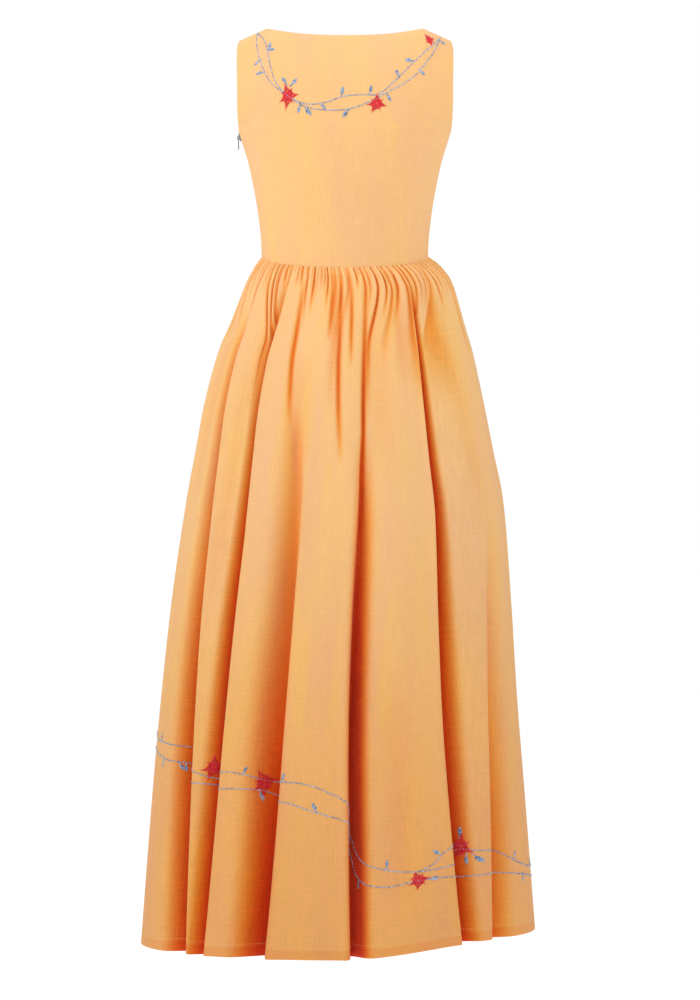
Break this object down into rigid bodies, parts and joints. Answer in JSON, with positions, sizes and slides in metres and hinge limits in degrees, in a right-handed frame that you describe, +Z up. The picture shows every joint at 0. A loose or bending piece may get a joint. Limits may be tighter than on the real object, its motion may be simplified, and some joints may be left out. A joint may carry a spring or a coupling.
{
  "type": "girls long dress",
  "caption": "Sleeveless girls long dress with a fitted boat-neck bodice, a gathered floor-length skirt and a side zip, filled out as worn.",
  "frame": {"origin": "midway between the two shoulder seams, level with the underside of the straps, where the wearer's shoulders hold the dress", "axes": "+Z up, -Y out of the back of the dress, +Y out of its front, +X to the right when the dress is seen from behind, so the side zip is at -X"},
  "size_m": [0.4848, 0.3857, 1.1208],
  "materials": {
    "cloth": "matt slub cotton, peach orange",
    "embroidery_blue": "light blue stranded thread",
    "embroidery_red": "red stranded thread",
    "zip_metal": "dark grey-brown lacquer"
  },
  "bodies": {
    "dress": {"bodice_back": "cloth", "bodice_front": "cloth", "skirt_back": "cloth", "skirt_front": "cloth", "zip_slider": "zip_metal"},
    "pull": {"zip_pull": "zip_metal"}
  },
  "joints": [
    {"name": "pull_swing", "type": "hinge", "parent": "dress", "child": "pull", "pos_m": [-0.13079, 0, -0.12395], "axis": [0, 1, 0], "range_deg": [0, 150]}
  ]
}
